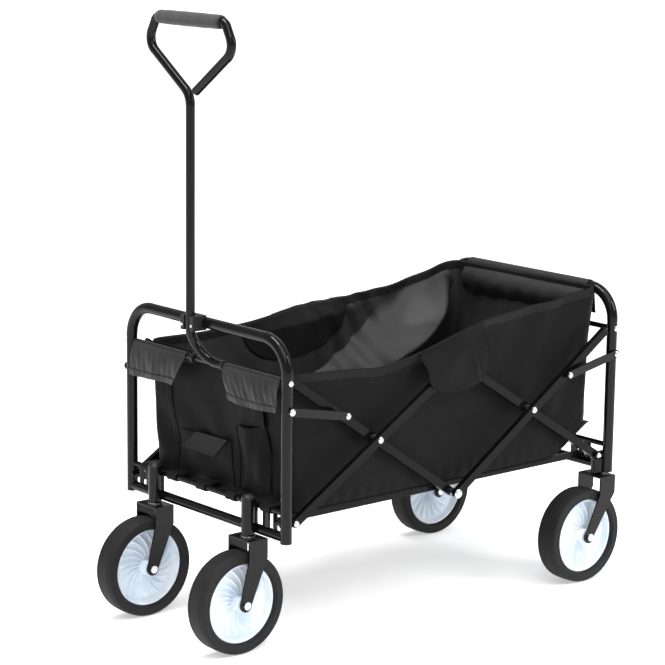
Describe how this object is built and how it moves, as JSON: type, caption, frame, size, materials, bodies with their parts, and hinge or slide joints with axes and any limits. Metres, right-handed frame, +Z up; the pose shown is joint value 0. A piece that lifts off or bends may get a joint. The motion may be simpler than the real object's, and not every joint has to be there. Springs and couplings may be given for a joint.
{
  "type": "folding camp wagon",
  "caption": "Folding camp wagon: soft fabric tub in a double-scissor tube frame with hoops, a tilting pull handle, swivelling front casters and fixed rear wheels.",
  "frame": {"origin": "on the ground under the centre of the whole wagon, opened out with its handle upright", "axes": "+X towards the rear, away from the handle; +Y across the wagon; +Z up"},
  "size_m": [0.95, 0.4834, 1.0875],
  "materials": {
    "frame_black": "gloss",
    "bar_black": "gloss",
    "plain_plastic": "satin",
    "zinc": "satin",
    "tub_fabric": "matte",
    "lining_fabric": "satin",
    "board": "matte",
    "foam": "matte",
    "rim_plastic": "satin",
    "tyre": "matte"
  },
  "bodies": {
    "front_frame": {"front_frame": "frame_black", "front_rod": "frame_black", "front_rod_screws": "zinc", "caster_caps": "plain_plastic", "caster_washers": "zinc", "handle_clip": "plain_plastic", "clip_screws": "zinc", "rod_collars": "plain_plastic", "front_pivot_bolts": "zinc", "front_link_bolts": "zinc", "front_rail_pins": "zinc", "tub": "tub_fabric", "front_flaps": "lining_fabric"},
    "front_outer": {"front_outer_bars": "bar_black", "front_outer_plugs": "plain_plastic", "front_cross_bolts": "zinc"},
    "front_inner": {"front_inner_bars": "bar_black", "front_inner_plugs": "plain_plastic", "front_link_spacers": "plain_plastic"},
    "rear_outer": {"rear_outer_bars": "bar_black", "rear_outer_plugs": "plain_plastic", "mid_pivot_bolts": "zinc", "rear_cross_bolts": "zinc"},
    "rear_inner": {"rear_inner_bars": "bar_black", "rear_inner_plugs": "plain_plastic"},
    "rear_frame": {"rear_frame": "frame_black", "rear_rod": "frame_black", "rear_rod_screws": "zinc", "rear_pivot_bolts": "zinc", "rear_link_bolts": "zinc", "rear_rail_pins": "zinc", "rear_cuff": "lining_fabric", "rear_forks": "frame_black", "rear_axles": "zinc"},
    "front_links": {"front_links": "frame_black", "front_link_rivets": "zinc"},
    "rear_links": {"rear_links": "frame_black", "rear_link_rivets": "zinc"},
    "front_rails": {"front_rails": "bar_black", "front_floor_board": "board"},
    "rear_rails": {"rear_rails": "bar_black", "rear_floor_board": "board"},
    "rim_pockets": {"rim_pockets": "tub_fabric"},
    "handle": {"handle_tube": "frame_black", "handle_grip": "foam", "handle_plug": "plain_plastic"},
    "near_fork": {"near_fork": "frame_black", "near_axle": "zinc"},
    "far_fork": {"far_fork": "frame_black", "far_axle": "zinc"},
    "near_front_wheel": {"near_front_rim": "rim_plastic", "near_front_tyre": "tyre"},
    "far_front_wheel": {"far_front_rim": "rim_plastic", "far_front_tyre": "tyre"},
    "near_rear_wheel": {"near_rear_rim": "rim_plastic", "near_rear_tyre": "tyre"},
    "far_rear_wheel": {"far_rear_rim": "rim_plastic", "far_rear_tyre": "tyre"}
  },
  "joints": [
    {"name": "fold", "type": "hinge", "parent": "front_frame", "child": "front_outer", "pos_m": [-0.328, 0, 0.239], "axis": [0, -1, 0], "range_deg": [0, 48.06], "deforming": ["tub"]},
    {"name": "front_cross", "type": "hinge", "parent": "front_outer", "child": "front_inner", "pos_m": [-0.1395, 0, 0.3565], "axis": [0, 1, 0], "range_deg": [0, 94.24]},
    {"name": "mid_low", "type": "hinge", "parent": "front_inner", "child": "rear_outer", "pos_m": [0.049, 0, 0.229], "axis": [0, -1, 0], "range_deg": [0, 92.35]},
    {"name": "rear_cross", "type": "hinge", "parent": "rear_outer", "child": "rear_inner", "pos_m": [0.2375, 0, 0.3565], "axis": [0, 1, 0], "range_deg": [0, 94.24]},
    {"name": "rear_low", "type": "hinge", "parent": "rear_inner", "child": "rear_frame", "pos_m": [0.426, 0, 0.239], "axis": [0, -1, 0], "range_deg": [0, 48.07]},
    {"name": "front_link", "type": "hinge", "parent": "front_frame", "child": "front_links", "pos_m": [-0.346, 0, 0.43689], "axis": [0, -1, 0], "range_deg": [0, 82.8]},
    {"name": "rear_link", "type": "hinge", "parent": "rear_frame", "child": "rear_links", "pos_m": [0.444, 0, 0.43689], "axis": [0, 1, 0], "range_deg": [0, 82.8]},
    {"name": "front_rail", "type": "hinge", "parent": "front_frame", "child": "front_rails", "pos_m": [-0.324, 0, 0.238], "axis": [0, -1, 0], "range_deg": [0, 78.7]},
    {"name": "rear_rail", "type": "hinge", "parent": "rear_frame", "child": "rear_rails", "pos_m": [0.422, 0, 0.238], "axis": [0, 1, 0], "range_deg": [0, 78.7]},
    {"name": "pocket_level", "type": "hinge", "parent": "front_outer", "child": "rim_pockets", "pos_m": [0.04, 0, 0.468], "axis": [0, 1, 0], "range_deg": [0, 48.07]},
    {"name": "handle_tilt", "type": "hinge", "parent": "front_frame", "child": "handle", "pos_m": [-0.346, 0.018, 0.485], "axis": [0, -1, 0], "range_deg": [0, 115]},
    {"name": "near_caster", "type": "hinge", "parent": "front_frame", "child": "near_fork", "pos_m": [-0.359, -0.135, 0.2], "axis": [0, 0, 1], "continuous": true},
    {"name": "far_caster", "type": "hinge", "parent": "front_frame", "child": "far_fork", "pos_m": [-0.359, 0.135, 0.2], "axis": [0, 0, 1], "continuous": true},
    {"name": "near_front_spin", "type": "hinge", "parent": "near_fork", "child": "near_front_wheel", "pos_m": [-0.385, -0.135, 0.09], "axis": [0, 1, 0], "continuous": true},
    {"name": "far_front_spin", "type": "hinge", "parent": "far_fork", "child": "far_front_wheel", "pos_m": [-0.385, 0.135, 0.09], "axis": [0, 1, 0], "continuous": true},
    {"name": "near_rear_spin", "type": "hinge", "parent": "rear_frame", "child": "near_rear_wheel", "pos_m": [0.385, -0.208, 0.09], "axis": [0, 1, 0], "continuous": true},
    {"name": "far_rear_spin", "type": "hinge", "parent": "rear_frame", "child": "far_rear_wheel", "pos_m": [0.385, 0.208, 0.09], "axis": [0, 1, 0], "continuous": true}
  ],
  "couplings": [
    {"joint": "front_cross", "follows": "fold", "ratio": 1.9606},
    {"joint": "mid_low", "follows": "fold", "ratio": 1.9211},
    {"joint": "rear_cross", "follows": "fold", "ratio": 1.9606},
    {"joint": "rear_low", "follows": "fold", "ratio": 1},
    {"joint": "front_link", "follows": "fold", "ratio": 1.7226},
    {"joint": "rear_link", "follows": "fold", "ratio": 1.7226},
    {"joint": "front_rail", "follows": "fold", "ratio": 1.6373},
    {"joint": "rear_rail", "follows": "fold", "ratio": 1.6373},
    {"joint": "pocket_level", "follows": "fold", "ratio": 1}
  ]
}
